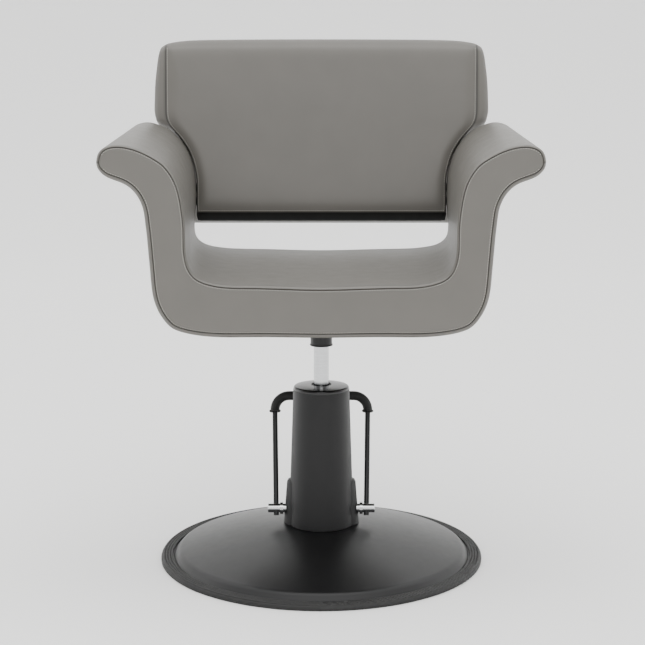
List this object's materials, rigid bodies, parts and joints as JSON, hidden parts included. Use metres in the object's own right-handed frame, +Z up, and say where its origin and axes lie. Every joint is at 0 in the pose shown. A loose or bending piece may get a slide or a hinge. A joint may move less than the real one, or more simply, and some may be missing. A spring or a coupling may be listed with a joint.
{
  "type": "styling chair",
  "caption": "Salon styling chair: padded U-shaped seat with rolled wing arms and a separate padded back, swivelling on a foot-pumped hydraulic column with a round base.",
  "frame": {"origin": "on the floor, on the axis of the column", "axes": "+Z up along the column, -Y towards the front of the seat, +X to the right seen from the front"},
  "size_m": [0.7476, 0.6277, 0.954],
  "materials": {
    "black_paint": "satin powder coat",
    "black_rubber": "matte",
    "zinc_steel": "zinc plated",
    "cast_iron": "as cast",
    "bronze": "machined bronze",
    "bare_steel": "machined",
    "black_abs": "fine matte texture",
    "black_gloss": "gloss",
    "chrome": "polished",
    "grey_vinyl": "grained vinyl",
    "foam": "open-cell foam",
    "plywood": "raw plywood"
  },
  "bodies": {
    "base": {"base_plate": "black_paint", "base_rim_ring": "black_rubber", "base_stiffener": "black_paint", "pump_bolts": "zinc_steel", "pump_washers": "zinc_steel", "pump_nuts": "zinc_steel", "pump_block": "cast_iron", "axle_bushes": "bronze", "plunger_spring": "bare_steel", "cylinder_tube": "bare_steel", "cylinder_head": "bare_steel", "rod_bush": "bronze", "rod_seal": "black_rubber", "column_cover": "black_abs", "column_cap": "black_gloss", "cap_wiper": "black_rubber"},
    "lift": {"piston_head": "cast_iron", "piston_ring": "black_rubber", "thrust_washer": "bronze"},
    "seat": {"piston_rod": "chrome", "rod_nut": "zinc_steel", "seat_socket": "black_paint", "socket_gussets": "black_paint", "seat_plate": "black_paint", "seat_bolts": "zinc_steel", "tee_nuts": "zinc_steel", "outer_cover": "grey_vinyl", "outer_padding": "foam", "seat_shell": "plywood", "inner_cover": "grey_vinyl", "seat_foam": "foam", "arm_foam_right": "foam", "arm_foam_left": "foam", "front_facing": "grey_vinyl", "rear_facing": "grey_vinyl", "back_front_cover": "grey_vinyl", "back_boxing": "grey_vinyl", "back_foam": "foam", "back_board": "plywood", "back_rear_cover": "grey_vinyl", "back_rail": "black_paint", "back_bolts": "zinc_steel", "back_spacers": "black_abs"},
    "foot_bar": {"pedal_bar": "black_paint", "pedal_sleeve": "black_rubber", "pedal_axle": "chrome", "pump_cam": "bare_steel", "axle_collars": "chrome", "collar_screws": "zinc_steel"},
    "plunger": {"plunger": "bare_steel"}
  },
  "joints": [
    {"name": "seat_lift", "type": "slide", "parent": "base", "child": "lift", "axis": [0, 0, 1], "range_m": [-0.065, 0.075]},
    {"name": "seat_swivel", "type": "hinge", "parent": "lift", "child": "seat", "pos_m": [0, 0, 0.4], "axis": [0, 0, 1], "continuous": true},
    {"name": "foot_bar_swing", "type": "hinge", "parent": "base", "child": "foot_bar", "pos_m": [0, 0, 0.093], "axis": [1, 0, 0], "range_deg": [-40, 0], "stiffness_Nm_per_rad": 3, "springref_deg": 22.92},
    {"name": "plunger_stroke", "type": "slide", "parent": "base", "child": "plunger", "axis": [0, 1, 0], "range_m": [-0.0001, 0.0056], "deforming": ["plunger_spring"]}
  ],
  "couplings": [
    {"joint": "plunger_stroke", "follows": "foot_bar_swing", "m_per_rad": -0.007838}
  ]
}
